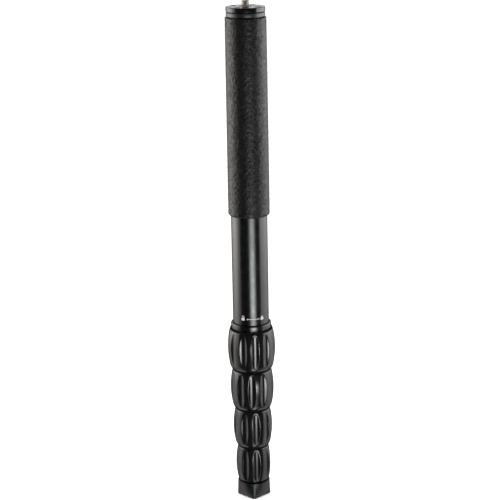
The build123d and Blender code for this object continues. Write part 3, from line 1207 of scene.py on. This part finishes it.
# Reach of a rounded square whose corners face the viewer, for each step round.
def squareReach(half, corner, steps):
    reaches = []
    inner = half - corner
    for angle in stepAngles(steps):
        turned = angle + math.pi / 4
        across, along = abs(math.cos(turned)), abs(math.sin(turned))
        big, small = max(across, along), min(across, along)
        flat = half / big
        if flat * small <= inner:
            reaches.append(flat)
            continue
        middle = inner * (big + small)
        reaches.append(middle + math.sqrt(middle ** 2 - 2 * inner ** 2 + corner ** 2))
    return reaches


# Reaches between two rings, by a share.
def blended(first, second, share):
    return [a + (b - a) * share for a, b in zip(first, second)]


def rubberFoot(values):
    low, top = heights("foot")
    half, steps = values["side"] / 2, values["steps"]
    base = squareReach(half, values["cornerRound"], steps)
    sole = squareReach(half - values["soleChamfer"], values["cornerRound"], steps)
    rim, edge = values["rimRadius"], values["rimSoftness"]
    rows = [(0, low), ([reach * values["soleRing"] for reach in sole], low),
            ([reach - values["soleInset"] for reach in sole], low)]
    for share, up in values["chamferShares"]:
        rows.append((blended(sole, base, share), low + values["soleChamfer"] * up))
    chamferTop = low + values["soleChamfer"]
    wallLow, wallTop = chamferTop + values["wallGap"], top - edge
    for share in [row / values["wallRows"] for row in range(values["wallRows"] + 1)]:
        height = wallLow + (wallTop - wallLow) * share
        lift = ((height - chamferTop) / (top - chamferTop)) ** values["roundingPace"]
        rows.append((blended(base, [rim] * steps, lift), height))
    rows += [(rim - edge * inward, top - edge * down) for inward, down in values["rimShares"]]
    cup, cupFloor = rim - values["rimWall"], top - values["cupDepth"]
    cupLow, socket = cup - values["cupSlope"], values["socketRadius"]
    rows += [
        (cup + values["rimInner"], top),
        (cup - values["cupEdge"][0], top - values["cupEdge"][1]),
        (cupLow, cupFloor + values["cupRound"][1]),
        (cupLow - values["cupRound"][0], cupFloor),
        (socket + values["socketEdge"], cupFloor),
        (socket, cupFloor - values["socketEdge"]),
        (socket, values["socketFloor"]),
        (0, values["socketFloor"]),
    ]
    reach, wide = values["side"], values["grooveWidth"] / 2
    grooves = [blockMesh((-reach, -wide, -1), (reach, wide, values["grooveDepth"]), turn)
               for turn in values["grooveTurnsDeg"]]
    carved = carve("squareFoot", turnRows(rows, steps), grooves)
    finishPiece("squareFoot", carved, "section_5", "foot_rubber", ["foot"], sharpDeg=38)


rubberFoot(footValues)
print("monopod: rubber foot shaped")

# White marks over the first lock: open padlock, line, closed padlock.
markValues = {
    "height": 156.0,
    "lift": 0.03,
    "sink": 0.05,
    "lineDeg": (-13.0, 27.0),
    "lineWidth": 0.55,
    "lineSteps": 14,
    "tickWidth": 0.4,
    "tickHeight": 1.2,
    "tickEdge": 0.02,
    "openDeg": -26.0,
    "closedDeg": 37.5,
    "bodyWidth": 2.8,
    "bodyHeight": 2.4,
    "bodyRound": 0.7,
    "bodySteps": 16,
    "sideShare": 0.02,
    "shackleWidth": 2.1,
    "shackleHeight": 1.1,
    "shackleThick": 0.5,
    "shackleSteps": 8,
    "openLift": 0.6,
}


# Both edges of a strip along a flat path. Each point is (across, up, half width).
def stripEdges(path):
    pairs = []
    for index, (x, y, half) in enumerate(path):
        before = path[max(index - 1, 0)]
        after = path[min(index + 1, len(path) - 1)]
        along = Vector((after[0] - before[0], after[1] - before[1])).normalized() * half
        pairs.append(((x - along.y, y + along.x), (x + along.y, y - along.x)))
    return pairs


# Lays flat strips round the first tube, each a closed shell as thick as print.
def wrapPrint(name, paths, values):
    points, faces = [], []
    radius = tubeValues["outerRadius"]
    inner, outer = radius - values["sink"], radius + values["lift"]
    for path in paths:
        start = len(points)
        for left, right in stripEdges(path):
            corners = ((left, outer), (right, outer), (right, inner), (left, inner))
            for (across, up), reach in corners:
                points.append(inMetres(pointAt(reach, across / radius, up)))
        last = len(points) - 4
        faces += [(start, start + 1, start + 2, start + 3), (last + 3, last + 2, last + 1, last)]
        for ring in range(start, last, 4):
            for k in range(4):
                after = (k + 1) % 4
                faces.append((ring + k, ring + 4 + k, ring + 4 + after, ring + after))
    buildPiece(name, (points, faces), "section_1", "", material=markPrint, sharpDeg=40)


def padlock(middleDeg, isOpen, values):
    centre = math.radians(middleDeg) * tubeValues["outerRadius"]
    base = values["height"] - values["bodyHeight"] / 2
    half, tall, corner = values["bodyWidth"] / 2, values["bodyHeight"] / 2, values["bodyRound"]
    body = []
    for step in range(values["bodySteps"] + 1):
        x = half * math.sin(math.pi * (step / values["bodySteps"] - 0.5))
        pull = max(0.0, abs(x) - (half - corner)) / corner
        drop = corner * (1 - math.sqrt(max(values["sideShare"], 1 - pull * pull)))
        body.append((centre + x, base + tall, tall - drop))
    thick = values["shackleThick"] / 2
    bow = values["shackleWidth"] / 2 - thick
    foot = base + values["bodyHeight"]
    crown = foot + values["shackleHeight"] - bow - thick + (values["openLift"] if isOpen else 0)
    shackle = [(centre + bow, foot, thick)]
    for step in range(values["shackleSteps"] + 1):
        angle = math.pi * step / values["shackleSteps"]
        shackle.append((centre + bow * math.cos(angle), crown + bow * math.sin(angle), thick))
    if not isOpen:
        shackle.append((centre - bow, foot, thick))
    return [body, shackle]


# The turning line, with a small tick across each end.
def turnLine(values):
    start, end = (math.radians(turn) * tubeValues["outerRadius"] for turn in values["lineDeg"])
    tick, edge, count = values["tickWidth"], values["tickEdge"], values["lineSteps"]
    tall, thin = values["tickHeight"] / 2, values["lineWidth"] / 2
    inner = start + tick + edge
    span = end - tick - edge - inner
    line = [(start, tall), (start + tick, tall)]
    line += [(inner + span * step / count, thin) for step in range(count + 1)]
    line += [(end - tick, tall), (end, tall)]
    return [[(x, values["height"], half) for x, half in line]]


def lockMarks(values):
    wrapPrint("turnLineMark", turnLine(values), values)
    wrapPrint("openPadlockMark", padlock(values["openDeg"], True, values), values)
    wrapPrint("closedPadlockMark", padlock(values["closedDeg"], False, values), values)


lockMarks(markValues)
print("monopod: marks printed")
